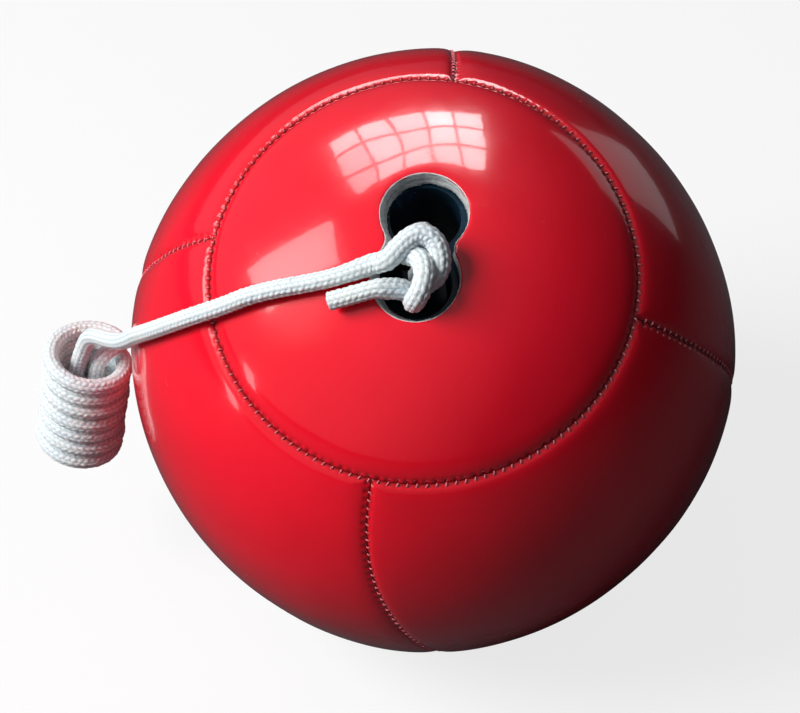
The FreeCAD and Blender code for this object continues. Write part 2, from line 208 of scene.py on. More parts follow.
def ramp(tree, fac, stops):
    """A colour ramp; stops are (position, (r, g, b))."""
    node = tree.nodes.new("ShaderNodeValToRGB")
    elements = node.color_ramp.elements
    while len(elements) < len(stops):
        elements.new(0.5)
    for element, (position, colour) in zip(elements, stops):
        element.position = position
        element.color = (*colour, 1)
    tree.links.new(fac, node.inputs["Fac"])
    return node.outputs["Color"]


def grey_ramp(tree, fac, stops):
    return ramp(tree, fac, [(position, (grey,) * 3) for position, grey in stops])


def mapped(tree, scale=(1, 1, 1)):
    coords = tree.nodes.new("ShaderNodeTexCoord")
    mapping = tree.nodes.new("ShaderNodeMapping")
    set_inputs(tree, mapping, {"Scale": scale, "Vector": coords.outputs["Object"]})
    return mapping.outputs["Vector"]


def noise(tree, vec, scale, detail=3, rough=0.5):
    node = tree.nodes.new("ShaderNodeTexNoise")
    set_inputs(tree, node, {"Scale": scale, "Detail": detail, "Roughness": rough, "Vector": vec})
    return node.outputs["Fac"]


def calc(tree, operation, first, second=None):
    node = tree.nodes.new("ShaderNodeMath")
    node.operation = operation
    set_inputs(tree, node, {0: first} if second is None else {0: first, 1: second})
    return node.outputs[0]


def multiply(tree, colour_a, colour_b):
    node = tree.nodes.new("ShaderNodeMixRGB")
    node.blend_type = "MULTIPLY"
    set_inputs(tree, node, {"Fac": 1.0, "Color1": colour_a, "Color2": colour_b})
    return node.outputs["Color"]


def bump(tree, height, strength, distance, normal=None):
    node = tree.nodes.new("ShaderNodeBump")
    set_inputs(tree, node, {"Strength": strength, "Distance": distance, "Height": height})
    if normal is not None:
        tree.links.new(normal, node.inputs["Normal"])
    return node.outputs["Normal"]


def attribute(tree, name):
    node = tree.nodes.new("ShaderNodeAttribute")
    node.attribute_name = name
    return node.outputs["Fac"]


# ------------------------------------------------------------------ materials
def vinyl():
    """Glossy red sheet with painted shade darkening the grooves, faintly uneven and scuffed."""
    mat, tree, shader = new_mat("vinyl_red")
    vec = mapped(tree)
    cloud = noise(tree, vec, scale=14.0)
    fine = noise(tree, vec, scale=900.0, detail=2)
    peel = noise(tree, vec, scale=260.0, detail=2)
    seam = attribute(tree, "seam")              # 0 in the groove, 1 away from it
    red = ramp(tree, cloud, [(0.30, (0.80, 0.003, 0.017)), (0.55, (0.87, 0.004, 0.021)),
                             (0.8, (0.91, 0.005, 0.026))])
    # painted shade: the red darkens and greys towards the middle of each seam's groove
    painted_groove_shade = ramp(tree, seam, [(0.0, (0.25, 0.12, 0.14)), (0.10, (0.55, 0.40, 0.42)),
                               (0.30, (0.90, 0.86, 0.86)), (1.0, (1, 1, 1))])
    scuff = noise(tree, mapped(tree, (1, 1, 2.5)), scale=55.0, detail=6, rough=0.65)
    waves = bump(tree, peel, strength=0.10, distance=0.0004)
    set_inputs(tree, shader, {
        "Base Color": multiply(tree, red, painted_groove_shade),
        "Roughness": grey_ramp(tree, scuff, [(0.35, 0.16), (0.62, 0.20), (0.78, 0.34)]),
        "IOR": 1.53,
        "Coat Weight": 0.85,
        "Coat Roughness": grey_ramp(tree, scuff, [(0.4, 0.025), (0.75, 0.09)]),
        "Normal": bump(tree, fine, strength=0.08, distance=0.00008, normal=waves),
        "Coat Normal": bump(tree, peel, strength=0.05, distance=0.00025)})
    return mat


def thread():
    mat, tree, shader = new_mat("thread_red")
    fibre = noise(tree, mapped(tree), scale=1800.0)
    set_inputs(tree, shader, {
        "Base Color": ramp(tree, fibre, [(0.3, (0.52, 0.06, 0.09)), (0.6, (0.82, 0.20, 0.25)),
                                         (0.85, (0.94, 0.46, 0.50))]),
        "Roughness": 0.34,
        "Sheen Weight": 0.4,
        "Normal": bump(tree, fibre, strength=0.6, distance=0.0002)})
    return mat


def braid():
    """White rope, with shade painted into its colour by the height of its beads and by fine
    slanting yarns.
    """
    mat, tree, shader = new_mat("braid_white")
    bead = attribute(tree, "bead")
    along = attribute(tree, "along")            # mm along the rope
    turn = attribute(tree, "round")             # turns round the rope
    vec = mapped(tree)
    # 56 yarns round the rope, leaning 2.6 radians a mm
    phase = calc(tree, "ADD", calc(tree, "MULTIPLY", turn, 6.2832 * 56),
                 calc(tree, "MULTIPLY", along, 2.6))
    yarn = calc(tree, "ADD", calc(tree, "MULTIPLY", calc(tree, "SINE", phase), 0.5), 0.5)
    fuzz = noise(tree, vec, scale=1500.0)
    tone = noise(tree, vec, scale=60.0)
    # the painted shade: 80% bead, 10% yarn, with 10% random fuzz
    shade = calc(tree, "ADD", calc(tree, "MULTIPLY", bead, 0.80),
                 calc(tree, "MULTIPLY", yarn, 0.10))
    shade = calc(tree, "ADD", shade, calc(tree, "MULTIPLY", fuzz, 0.10))
    # painted shade: the white darkens to grey-blue between the beads and yarns
    white = ramp(tree, shade, [(0.06, (0.20, 0.24, 0.26)), (0.32, (0.46, 0.56, 0.60)),
                               (0.58, (0.80, 0.88, 0.91)), (0.86, (0.93, 0.965, 0.975))])
    warmth = ramp(tree, tone, [(0.35, (0.93, 0.97, 1.0)), (0.7, (1.0, 0.99, 0.95))])
    yarn_bump = bump(tree, yarn, strength=0.45, distance=0.0003)
    set_inputs(tree, shader, {
        "Base Color": multiply(tree, white, warmth),
        "Roughness": 0.50,
        "Sheen Weight": 0.35,
        "Sheen Roughness": 0.4,
        "Subsurface Weight": 0.08,
        "Subsurface Radius": (0.001, 0.001, 0.001),
        "Normal": bump(tree, fuzz, strength=0.35, distance=0.0002, normal=yarn_bump)})
    return mat


def felt():
    mat, tree, shader = new_mat("felt_edge")
    vec = mapped(tree)
    clumps = noise(tree, vec, scale=420.0, detail=5, rough=0.7)
    fibres = noise(tree, vec, scale=2200.0, detail=3, rough=0.6)
    layer = attribute(tree, "layer")            # 0 deep, 1 at the vinyl
    # the bands are the layers' own tones; the darkening towards 0 is painted shade deep in the
    # hole
    layers = ramp(tree, layer, [(0.0, (0.10, 0.12, 0.12)), (0.30, (0.36, 0.40, 0.40)),
                                (0.48, (0.62, 0.66, 0.65)), (0.56, (0.34, 0.37, 0.37)),
                                (0.66, (0.72, 0.76, 0.75)), (0.86, (0.93, 0.95, 0.95))])
    specks = ramp(tree, clumps, [(0.3, (0.62, 0.64, 0.64)), (0.65, (1, 1, 1))])
    clump_bump = bump(tree, clumps, strength=0.8, distance=0.001)
    set_inputs(tree, shader, {
        "Base Color": multiply(tree, layers, specks),
        "Roughness": 0.92,
        "Sheen Weight": 0.5,
        "Normal": bump(tree, fibres, strength=0.8, distance=0.0006, normal=clump_bump)})
    return mat


def moulded_black():
    mat, tree, shader = new_mat("moulded_black")
    vec = mapped(tree)
    grain = noise(tree, vec, scale=700.0)
    cloud = noise(tree, vec, scale=60.0, detail=4)
    set_inputs(tree, shader, {
        "Base Color": ramp(tree, cloud, [(0.3, (0.003, 0.011, 0.015)),
                                         (0.7, (0.006, 0.028, 0.055))]),
        "Roughness": grey_ramp(tree, cloud, [(0.3, 0.16), (0.75, 0.30)]),
        "Normal": bump(tree, grain, strength=0.15, distance=0.0002)})
    return mat


def steel():
    mat, tree, shader = new_mat("drawn_steel")
    grain = noise(tree, mapped(tree, (40, 1, 1)), scale=120.0, detail=4)
    set_inputs(tree, shader, {
        "Base Color": ramp(tree, grain, [(0.3, (0.10, 0.11, 0.12)), (0.7, (0.24, 0.25, 0.27))]),
        "Metallic": 1.0,
        "Roughness": 0.34,
        "Normal": bump(tree, grain, strength=0.2, distance=0.0002)})
    return mat


def soft(name, dark, pale, scale, rough, depth):
    """A matt filling material: one noise gives both its colour and its relief."""
    mat, tree, shader = new_mat(name)
    grain = noise(tree, mapped(tree), scale=scale, detail=5, rough=0.65)
    set_inputs(tree, shader, {
        "Base Color": ramp(tree, grain, [(0.3, dark), (0.7, pale)]),
        "Roughness": rough,
        "Normal": bump(tree, grain, strength=0.7, distance=depth)})
    return mat


VINYL, THREAD, BRAID, FELT = vinyl(), thread(), braid(), felt()
BLACK, STEEL = moulded_black(), steel()
FOAM = soft("foam_cells", dark=(0.30, 0.31, 0.30), pale=(0.56, 0.57, 0.55),
            scale=600.0, rough=0.9, depth=0.0005)
WADDING = soft("fibre_wadding", dark=(0.30, 0.28, 0.25), pale=(0.62, 0.59, 0.54),
               scale=90.0, rough=0.95, depth=0.003)
CLOTH = soft("cotton_bag", dark=(0.50, 0.48, 0.42), pale=(0.74, 0.72, 0.66),
             scale=1200.0, rough=0.9, depth=0.0003)
GRAIN = soft("loose_grain", dark=(0.16, 0.12, 0.08), pale=(0.46, 0.38, 0.28),
             scale=1500.0, rough=0.85, depth=0.0008)

# the CAD pieces that keep their shape
for name, mat in (("rope_port_cup", BLACK), ("anchor_bar", STEEL), ("anchor_bar_washers", STEEL),
                  ("fibre_filling", WADDING), ("ballast_bag", CLOTH), ("ballast_sand", GRAIN)):
    cad_piece = frame["nodes"][name]
    if not cad_piece.data.materials:
        cad_piece.data.materials.append(mat)
    for slot in cad_piece.material_slots:
        slot.material = mat

# ------------------------------------------------------------------ shape of the cover
# side seams in the port frame: (angle from the axis, azimuth), degrees
SEAMS = {
    "front": [(40, -99.6), (50, -99.2), (58, -98.0), (64, -96.6), (70, -94.8), (76, -92.8),
              (84, -90.1), (92, -87.5), (101, -84.9), (112, -82.4), (124, -80.6), (140, -79.5)],
    "left": [(40, 172.0), (52, 172.8), (62, 173.5), (77, 173.4), (92, 172.6), (108, 171.6),
             (124, 171.2), (140, 171.4)],
    "back": [(40, 85.4), (52, 87.1), (62, 88.5), (76, 90.4), (92, 92.6), (108, 94.2),
             (124, 95.2), (140, 95.6)],
    "right": [(40, -8.4), (52, -7.6), (62, -6.6), (76, -5.0), (92, -3.4), (108, -2.2),
              (124, -1.4), (140, -1.0)],
}


def seam_azimuth(name, theta):
    """A side seam's azimuth at theta, in radians, averaged over 6 degrees to soften its bends."""
    at, azimuths = np.array(SEAMS[name], float).T
    degrees = np.degrees(theta)
    return np.radians(sum(np.interp(degrees + k, at, azimuths) for k in (-3, -1.5, 0, 1.5, 3)) / 5)


def seam_roll(dist, soft_side):
    """How far the cover drops at a distance from a seam: a broad shoulder or a tight edge."""
    if soft_side:
        return 1.15 * np.exp(-(dist / 5.2) ** 1.7) + 0.65 * np.exp(-dist / 0.8)
    return 0.35 * np.exp(-(dist / 4.0) ** 1.6) + 1.45 * np.exp(-(dist / 1.5) ** 1.1)


def stitch_pull(dist, along, soft_side):
    """The pull of each stitch on the cover beside the seam."""
    phase = (along / PITCH) % 1.0 - 0.5
    pit = np.exp(-(phase * PITCH / 1.15) ** 2)
    count = np.floor(along / PITCH)
    vary = 1.0 + 0.30 * np.sin(count * 2.37) * np.sin(count * 0.71 + 1.0)
    slow = wobble(np.stack([along, along * 0.3, dist * 0.2], -1), 9.0, 2.0)
    depth, middle, width = (0.75, 1.0, 1.3) if soft_side else (0.32, 0.8, 1.0)
    return (depth * vary * pit * np.exp(-((dist - middle) / width) ** 2)
            + 0.17 * slow * np.exp(-dist / 8.0) * np.clip(dist / 2.0, 0, 1))


def seam_drop(dist, along, soft_side):
    return seam_roll(dist, soft_side) + stitch_pull(dist, along, soft_side)


def body_radius(theta, az):
    """The stuffed ball without its grooves: four soft corners and a little waviness."""
    corner = np.cos(4 * (az - math.radians(-92.0)))
    points = direction(theta, az) * BALL_R
    radius = BALL_R + 0.9 * corner * np.sin(theta) ** 2 - 0.35
    radius = radius + 0.22 * wobble(points, 24.0, 0.7) + 0.10 * wobble(points, 10.0, 4.2)
    # the middle of the top cap is a little flatter
    return radius - 0.35 * np.exp(-(theta / 0.30) ** 2)


def lobed_r(az, lobe_r):
    """Distance from the port's axis to a two-lobed outline in the direction az."""
    fillet = 8.0
    waist_x = math.sqrt((lobe_r + fillet) ** 2 - LOBE_HALF ** 2)     # centre of a waist fillet
    share = lobe_r / (lobe_r + fillet)
    touch_x, touch_y = waist_x * share, LOBE_HALF * (1 - share)
    lobe_from = math.atan2(touch_y - LOBE_HALF, touch_x)
    waist_from = math.atan2(touch_y, waist_x - touch_x)
    half = [(lobe_r * math.cos(t), LOBE_HALF + lobe_r * math.sin(t))
            for t in np.linspace(lobe_from, math.pi - lobe_from, 160)]
    half += [(-waist_x + fillet * math.cos(t), fillet * math.sin(t))
             for t in np.linspace(waist_from, -waist_from, 40)[1:-1]]
    outline = np.array(half + [(-x, -y) for x, y in half])
    outline[:, 1] += LOBE_MID
    cos, sin = math.cos(PORT_TWIST), math.sin(PORT_TWIST)
    outline = outline @ np.array([[cos, sin], [-sin, cos]])
    angles = np.arctan2(outline[:, 1], outline[:, 0])
    order = np.argsort(angles)
    angles = angles[order]
    radii = np.hypot(outline[:, 0], outline[:, 1])[order]
    angles = np.concatenate([angles - 2 * math.pi, angles, angles + 2 * math.pi])
    az = (az + math.pi) % (2 * math.pi) - math.pi
    return np.interp(az, angles, np.tile(radii, 3))


# ------------------------------------------------------------------ the rope's line
# The line starts at the end tucked into the hank and finishes at the tail beside the knot.
def joint_at(name):
    return np.array(joints[name]["pos_m"], float) / MM - CENTRE


LIFT, BEND, DROP, HANK = (joint_at(name) for name in
                          ("lead_lift", "lead_unbend", "drop_unbend", "hank_swing"))

# the hank's own frame: z along it, away from its top
HANK_TOP = HANK + np.array([-1.0, 2.2, -10.6])
HANK_AXIS = unit(np.array([-173.0, -6.4, -66.0]) - HANK_TOP)


def turn_from_z(axis):
    """The rotation that takes +z to a unit axis."""
    z_axis = np.array([0, 0, 1.0])
    normal = np.cross(z_axis, axis)
    sin = np.linalg.norm(normal)
    x, y, z = normal / sin
    skew = np.array([[0, -z, y], [z, 0, -x], [-y, x, 0]])
    return np.eye(3) + sin * skew + (1 - float(z_axis @ axis)) * (skew @ skew)


HANK_TURN = turn_from_z(HANK_AXIS)


def hank(points):
    return np.asarray(points, float) @ HANK_TURN.T + HANK_TOP


WRAP_R, WRAP_PITCH, TURNS = 17.5, 8.35, 7.0
WRAP_START = math.radians(142) - 0.20
STRAND = 4.7                        # offset of the two core strands from the hank's axis


def wrap_points():
    """The slightly uneven helix of the hank, then its end turning inwards."""
    points = []
    for k in range(int(TURNS * 24) + 1):
        turn = k / 24.0
        angle = WRAP_START - 2 * math.pi * turn
        radius = (WRAP_R + 0.35 * math.sin(2.3 * turn + 0.4)
                  + 0.25 * math.sin(2 * math.pi * turn * 2 + 1.0))
        z = turn * WRAP_PITCH + 0.30 * math.sin(2 * math.pi * turn * 1.37 + 0.8)
        points.append((radius * math.cos(angle), radius * math.sin(angle), z))
    # the tucked end: (mm inwards, mm beyond the last turn)
    for k, (inward, rise) in enumerate(((1.2, 2.4), (3.6, 4.2), (6.2, 6.6), (6.8, 10.2)), 1):
        angle = WRAP_START - 2 * math.pi * TURNS - 0.34 * k
        radius = WRAP_R - inward
        points.append((radius * math.cos(angle), radius * math.sin(angle),
                       WRAP_PITCH * TURNS + rise))
    return points


BAR_MID = LOBE_DIR * LOBE_MID + [0, 0, 116.5]
LOOP_R = 8.9                        # radius of the loop round the bar
LOOP_RISE = np.array([0, 0, 9.0])   # straight part of each leg above the loop
loop_arc = [BAR_MID + LOBE_DIR * (-LOOP_R * math.cos(t)) - [0, 0, LOOP_R * math.sin(t)]
            for t in np.linspace(0, math.pi, 9)]

knot_in = port([
    (-11.9, -8.9, 147.0), (-6.6, -3.0, 149.3), (-0.2, 1.9, 150.5), (6.4, 0.0, 149.5),
    (9.3, -5.7, 148.0), (9.4, -11.4, 145.5), (6.6, -14.5, 141.5), (3.5, -14.5, 137.0),
    (1.2, -10.8, 132.2)])
knot_out = port([
    (0.6, 9.6, 131.8), (-3.0, 5.0, 136.0), (-6.8, -0.4, 139.6), (-5.6, -3.8, 142.4),
    (-3.2, -5.6, 144.9), (1.0, -7.6, 147.5), (3.4, -12.4, 149.8), (3.8, -18.0, 150.6),
    (2.4, -22.6, 148.5), (0.4, -24.4, 144.0), (-0.6, -24.2, 139.4), (-1.4, -20.8, 136.6),
    (-5.0, -18.7, 139.2), (-10.8, -19.8, 142.6)])

# control points of each run of the rope, in order, part axes
RUNS = {
    "wraps": hank(wrap_points()[::-1]),
    "core": hank([
        (-13.2, 7.2, -1.4), (-8.6, 3.4, 0.2), (-STRAND - 0.5, 0.6, 5.0), (-STRAND, 0, 12),
        (-STRAND, 0, 24), (-STRAND, 0, 38), (-STRAND, 0, 50), (-STRAND * 0.7, 0, 53.6),
        (0, 0, 55.2), (STRAND * 0.7, 0, 53.6), (STRAND, 0, 50), (STRAND, 0, 38),
        (STRAND, 0, 24), (STRAND, 0, 12), (3.2, -1.0, 1.0)]),
    "drop": [HANK, (-155.6, -15.6, 11.6), (-148.0, -24.8, 18.6), (-139.6, -35.6, 27.5)],
    "lead_outer": [DROP, (-127.0, -51.4, 46.4), (-119.2, -59.3, 56.4), (-108.2, -67.3, 68.4),
                   (-98.0, -72.5, 77.8), (-89.3, -75.9, 84.8)],
    "lead_inner": [BEND, (-70.2, -80.0, 98.3), (-57.0, -81.9, 104.9), (-46.7, -82.9, 108.9),
                   (-36.6, -83.2, 112.6), (-26.8, -82.0, 116.2), LIFT + [0, -1.4, -0.9]],
    "knot_in": knot_in,
    "legs": port([BAR_MID - LOBE_DIR * LOOP_R + LOOP_RISE] + loop_arc
                 + [BAR_MID + LOBE_DIR * LOOP_R + LOOP_RISE]),
    "knot_out": knot_out,
    "tail": [(-15.5, -89.6, 114.4), (-22.5, -90.4, 112.2), (-28.7, -91.0, 110.0),
             (-36.2, -91.4, 107.2)],
}
SPAN_POINTS = 14                    # curve points from one control point to the next


def catmull(points):
    """Centripetal Catmull-Rom curve through the points."""
    padded = np.vstack([2 * points[0] - points[1], points, 2 * points[-1] - points[-2]])
    curve = []
    for i in range(1, len(padded) - 2):
        p0, p1, p2, p3 = padded[i - 1:i + 3]
        t1 = max(np.linalg.norm(p1 - p0), 1e-6) ** 0.5
        t2 = t1 + max(np.linalg.norm(p2 - p1), 1e-6) ** 0.5
        t3 = t2 + max(np.linalg.norm(p3 - p2), 1e-6) ** 0.5
        t = np.linspace(t1, t2, SPAN_POINTS, endpoint=False)[:, None]
        a1 = (t1 - t) / t1 * p0 + t / t1 * p1
        a2 = (t2 - t) / (t2 - t1) * p1 + (t - t1) / (t2 - t1) * p2
        a3 = (t3 - t) / (t3 - t2) * p2 + (t - t2) / (t3 - t2) * p3
        b1 = (t2 - t) / t2 * a1 + t / t2 * a2
        b2 = (t3 - t) / (t3 - t1) * a2 + (t - t1) / (t3 - t1) * a3
        curve.extend((t2 - t) / (t2 - t1) * b1 + (t - t1) / (t2 - t1) * b2)
    curve.append(padded[-2])
    return np.array(curve)


controls, first_control = [], {}
for name, points in RUNS.items():
    first_control[name] = len(controls)
    controls.extend(points)
dense = catmull(np.array(controls))
dense_s = np.concatenate([[0], np.cumsum(np.linalg.norm(np.diff(dense, axis=0), axis=1))])
run_s = {name: dense_s[k * SPAN_POINTS] for name, k in first_control.items()}

# LINE: points every STEP mm, smoothed; S: their distance along the rope
STEP = 0.5
SMOOTH_SIDE = 9                     # steps on each side of a point that smooth it
S = np.arange(0, dense_s[-1], STEP)
LINE = np.stack([np.interp(S, dense_s, dense[:, k]) for k in range(3)], 1)
kernel = np.exp(-0.5 * (np.arange(-SMOOTH_SIDE, SMOOTH_SIDE + 1) * STEP / 1.6) ** 2)
kernel /= kernel.sum()
padded = np.pad(LINE, ((SMOOTH_SIDE, SMOOTH_SIDE), (0, 0)), mode="edge")
LINE = np.stack([np.convolve(padded[:, k], kernel, "valid") for k in range(3)], 1)

# a frame carried along the line without twisting
TANGENT = unit(np.gradient(LINE, axis=0))
NORMAL = np.zeros_like(LINE)
NORMAL[0] = unit(np.cross(TANGENT[0], [0.3, 0.2, 0.9]))
for i in range(1, len(LINE)):
    NORMAL[i] = unit(NORMAL[i - 1] - TANGENT[i] * (NORMAL[i - 1] @ TANGENT[i]))
BINORMAL = np.cross(TANGENT, NORMAL)

# the part of the line that lies on the cover
on_cover = LINE[(S > run_s["lead_outer"] - 20) & (S < run_s["knot_in"] + 6)][::5]


def s_near(point, lo, hi=1e9):
    """Distance along the rope, between lo and hi, of the place nearest to a point."""
    gap = np.linalg.norm(LINE - point, axis=1)
    gap[(S < lo) | (S > hi)] = 1e9
    return float(S[int(np.argmin(gap))])


# ------------------------------------------------------------------ the rope's pieces
AROUND, WALES, BEAD = 50, 10, 2.7   # points round the rope, columns of beads, bead length
# the rope is 15% thicker in the knot
FULLNESS = (1 + 0.15 * smooth01((S - (run_s["knot_in"] - 24)) / 16)
            * smooth01((run_s["tail"] + 4 - S) / 10))


def rope_piece(name, s_from, s_to):
    """A closed length of braided rope between two places along the rope's line."""
    first = max(int(round(s_from / STEP)), 0)
    last = min(int(round(s_to / STEP)), len(LINE) - 1)
    index = np.arange(first, last + 1)
    turn = np.arange(AROUND) / AROUND
    s = S[index][:, None]
    # across and lengthwise: place in a bead, -1..1; columns are staggered and their beads lean
    column = turn[None, :] * WALES
    wale = np.floor(column + 1e-9)
    odd = wale % 2
    across = (column - wale - 0.5) * 2
    row = s / BEAD + 0.5 * odd + 0.22 * across * np.where(odd > 0, 1, -1)
    lengthwise = (row - np.floor(row) - 0.5) * 2
    vary = 0.5 + 0.5 * np.sin(wale * 12.9898 + np.floor(row) * 78.233)
    height = (np.sqrt(np.clip(1 - 0.80 * across ** 2, 0, 1))
              * np.sqrt(np.clip(1 - 0.90 * lengthwise ** 2, 0, 1)))
    radius = (3.34 + (0.60 + 0.16 * vary) * height) * FULLNESS[index][:, None]
    cos, sin = np.cos(2 * math.pi * turn), np.sin(2 * math.pi * turn)
    rings = LINE[index][:, None, :] + radius[..., None] * (
        cos[None, :, None] * NORMAL[index][:, None, :]
        + sin[None, :, None] * BINORMAL[index][:, None, :])
    count = len(index)
    verts = [rings.reshape(-1, 3)]
    # the bead height also sets the braid's painted shade between beads
    bead = [height.ravel()]
    along = [np.broadcast_to(s, radius.shape).ravel()]
    around = [np.tile(turn, count)]
    quads, tris = [tube_faces(count, AROUND)[:, ::-1]], []
    base = count * AROUND

    # each end: two smaller rings, then the tip
    for end, sign in ((0, -1), (count - 1, 1)):
        here = index[end]
        centre = LINE[here]
        ring = np.arange(AROUND) + end * AROUND
        for k, size in enumerate((0.62, 0.25), 1):
            verts.append(centre + (rings[end] - centre) * size + TANGENT[here] * (0.18 * sign * k))
            # the end rings and tip get a middling painted shade
            bead.append(np.full(AROUND, 0.35))
            along.append(np.full(AROUND, S[here]))
            around.append(turn)
            inner = np.arange(AROUND) + base
            base += AROUND
            quad = np.stack([ring, inner, np.roll(inner, -1), np.roll(ring, -1)], -1)
            quads.append(quad[:, ::-1] if sign < 0 else quad)
            ring = inner
        verts.append([centre + TANGENT[here] * (0.5 * sign)])
        bead.append([0.3])
        along.append([S[here]])
        around.append([0.0])
        tri = np.stack([ring, np.full(AROUND, base), np.roll(ring, -1)], -1)
        tris.append(tri[:, ::-1] if sign < 0 else tri)
        base += 1
    ob = add_mesh(name, metres(np.vstack(verts)), [np.vstack(quads), np.vstack(tris)], BRAID,
                  {"bead": np.concatenate(bead), "along": np.concatenate(along),
                   "round": np.concatenate(around)})
    return ob


def riding_piece(name, s_from, s_to, body, *cad):
    ob = rope_piece(name, s_from, s_to)
    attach(ob, body)
    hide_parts(*cad)


def bend_piece(name, s_from, s_to, cad=None):
    """A length of rope over a bend, with its placement baked into its mesh."""
    ob = rope_piece(name, s_from, s_to)
    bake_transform(ob)
    if cad:
        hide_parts(cad)


lift_s = s_near(LIFT, run_s["lead_inner"])
bend_s = s_near(BEND, run_s["lead_outer"] + 5, lift_s)
drop_s = s_near(DROP, run_s["drop"], bend_s)
hank_s = s_near(HANK, run_s["core"] + 60, drop_s)
inner_mid = (lift_s + bend_s) / 2
outer_mid = (bend_s + drop_s) / 2
drop_mid = (drop_s + hank_s) / 2
core_cut = hank_s - 24.0
knot_start = lift_s + 4.0
legs_start = s_near(knot_in[7], run_s["knot_in"], run_s["legs"] + 5)
legs_end = s_near(knot_out[1], run_s["knot_out"] - 5, run_s["knot_out"] + 30)
TUCKED = 9.0                        # length of the tucked end

riding_piece("rope_hank_wound", TUCKED, core_cut, "rope_hank",
             "rope_hank_wraps", "rope_hank_core")
riding_piece("rope_end_tucked", 0.0, TUCKED, "rope_hank", "rope_free_end")
bend_piece("rope_drop_to_hank", core_cut, drop_mid)
bend_piece("rope_over_side", drop_mid, outer_mid,
           "rope_drop")
bend_piece("rope_over_shoulder", outer_mid, inner_mid,
           "rope_lead_outer")
bend_piece("rope_from_knot", inner_mid, knot_start,
           "rope_lead_inner")
riding_piece("rope_knot_turn", knot_start, legs_start, "rope_knot", "rope_knot")
legs = rope_piece("rope_loop_legs", legs_start, legs_end)
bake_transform(legs)
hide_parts("rope_anchor_loop")
riding_piece("rope_knot_and_tail", legs_end, S[-1], "rope_knot", "rope_tail")


# ------------------------------------------------------------------ cover panels
ROPE_PRESS_R = 4.15                 # radius of the trough pressed by the rope
FLOOR_EDGE = 0.5                    # softness of the edge of the flat underside
EDGE_GAP = 0.0002                   # radians between a panel's edge and the cap seam


def place(theta, az, drop, inset):
    """Cover points in part axes, with the rope's trough and the flat underside."""
    radius = body_radius(theta, az) - drop - inset
    points = port(direction(theta, az) * radius[..., None])
    flat = points.reshape(-1, 3)
    near = np.where((flat[:, 0] < 0) & (flat[:, 1] < 20))[0]
    if len(near):
        radii = np.linalg.norm(flat[near], axis=1)
        outward = flat[near] / radii[:, None]
        allowed = np.full(len(near), 1e9)
        for spot in on_cover:
            height = np.linalg.norm(spot)
            aside = np.linalg.norm(outward * height - spot, axis=1)
            limit = height - np.sqrt(np.clip(ROPE_PRESS_R ** 2 - aside ** 2, 0, None)) - inset
            allowed = np.minimum(allowed, np.where(aside < ROPE_PRESS_R, limit, 1e9))
        flat[near] *= np.minimum(1.0, allowed / radii)[:, None]
    z = flat[:, 2] + CENTRE_Z
    above = (z - inset) / FLOOR_EDGE
    softened = (inset + FLOOR_EDGE * np.log1p(np.exp(np.clip(above, -40, 40)))
                - FLOOR_EDGE * math.log(2) * np.exp(-np.clip(above, 0, 40)))
    z = np.where(z > inset + 4 * FLOOR_EDGE, z, softened)
    flat[:, 2] = np.maximum(z, inset) - CENTRE_Z
    return flat.reshape(points.shape)


def crowd_ends(t, amount):
    """Move evenly spaced values of 0..1 towards both ends."""
    return t - amount / (2 * math.pi) * np.sin(2 * math.pi * t)


